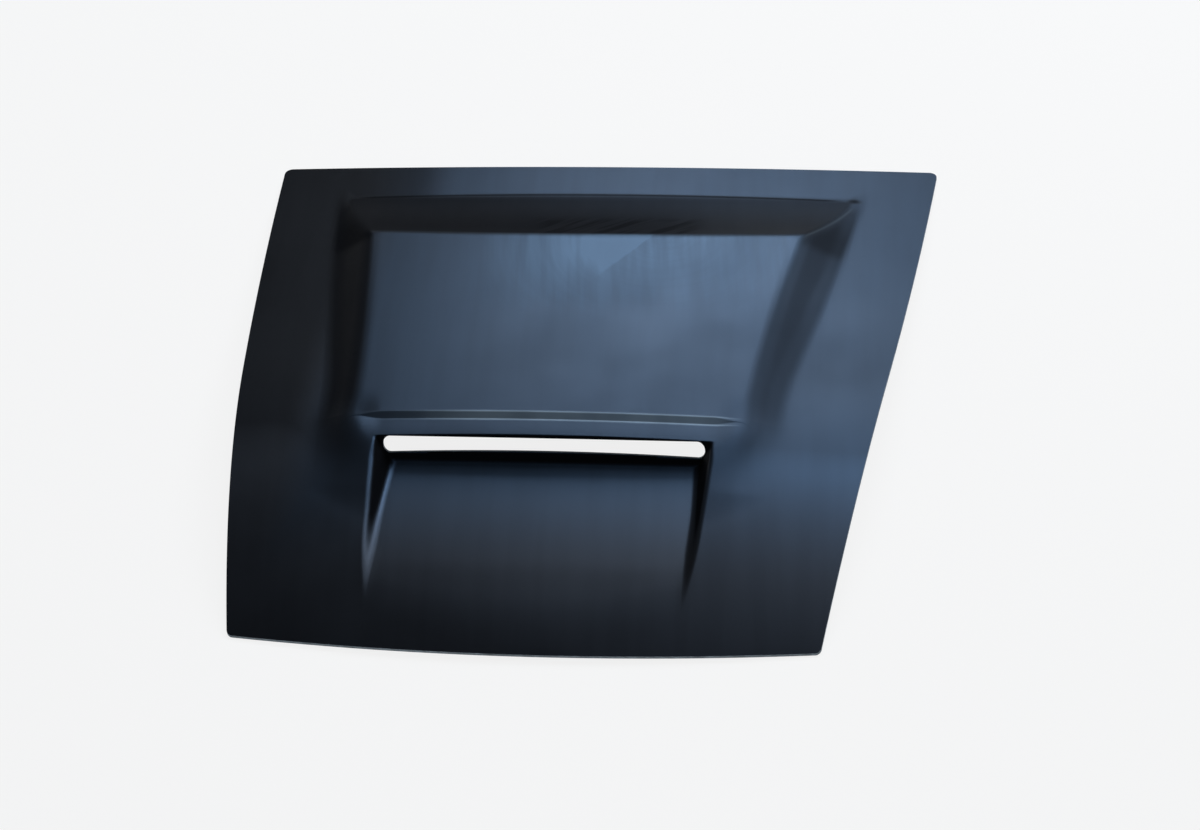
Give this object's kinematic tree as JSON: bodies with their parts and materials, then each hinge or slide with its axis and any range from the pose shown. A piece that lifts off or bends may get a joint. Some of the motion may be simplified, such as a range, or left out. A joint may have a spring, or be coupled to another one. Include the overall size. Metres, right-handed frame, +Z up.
{
  "type": "bonnet scoop",
  "caption": "Low moulded bonnet scoop: a crowned panel with a raised plateau, a small step, and a recess whose back wall has a long air slot.",
  "frame": {"origin": "middle of the footprint, on the level that the panel's corners stand on", "axes": "+X across the bonnet to the car's left as seen from the front, +Y to the rear of the car, +Z up"},
  "size_m": [0.7984, 0.7681, 0.0764],
  "materials": {
    "gelcoat": "satin black gelcoat"
  },
  "bodies": {
    "root": {"scoop_moulding": "gelcoat"}
  },
  "joints": []
}
